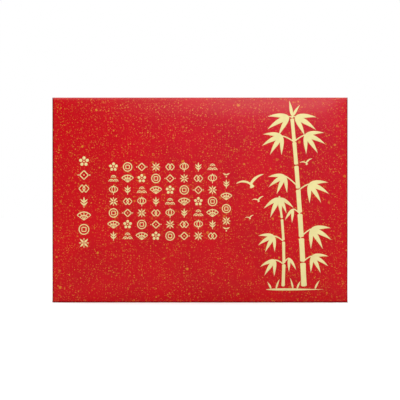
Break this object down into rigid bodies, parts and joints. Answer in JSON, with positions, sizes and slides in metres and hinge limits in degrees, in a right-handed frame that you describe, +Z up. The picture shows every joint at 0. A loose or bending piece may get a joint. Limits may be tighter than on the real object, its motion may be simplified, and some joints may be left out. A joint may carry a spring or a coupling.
{
  "type": "gift envelope",
  "caption": "Flat landscape card envelope, folded and glued, with a hinged tapered closure flap on its back and a peel-off liner on the flap's sealing tape.",
  "frame": {"origin": "under the middle of the bottom fold, where a stand or hand holds the upright envelope", "axes": "+X along the long edge, to the right as the printed face is read; +Y from the printed face to the back; +Z up the short edge towards the flap's fold"},
  "size_m": [0.18, 0.0024, 0.125],
  "materials": {
    "printed_card": "pearl-coated card printed red with fine gold flecks, satin",
    "folded_card": "the same card on its scored folds, satin",
    "dried_glue": "dried cold glue",
    "tape_film": "clear film with adhesive, glossy",
    "liner_paper": "pale yellow glassine release paper, silicone-coated",
    "gold_foil": "pale gold hot-stamped foil, satin"
  },
  "bodies": {
    "packet": {"front_panel": "printed_card", "left_fold": "folded_card", "right_fold": "folded_card", "bottom_fold": "folded_card", "flap_fold": "folded_card", "left_side_tab": "printed_card", "right_side_tab": "printed_card", "back_panel": "printed_card", "left_seam_glue": "dried_glue", "right_seam_glue": "dried_glue"},
    "flap": {"closure_flap": "printed_card", "flap_tape": "tape_film"},
    "liner": {"tape_liner": "liner_paper"}
  },
  "joints": [
    {"name": "flap_fold_hinge", "type": "hinge", "parent": "packet", "child": "flap", "pos_m": [0, 0, 0.1238], "axis": [1, 0, 0], "range_deg": [0, 180], "deforming": ["flap_fold"]},
    {"name": "liner_peel", "type": "slide", "parent": "flap", "child": "liner", "axis": [1, 0, 0], "range_m": [0, 0.165]}
  ]
}
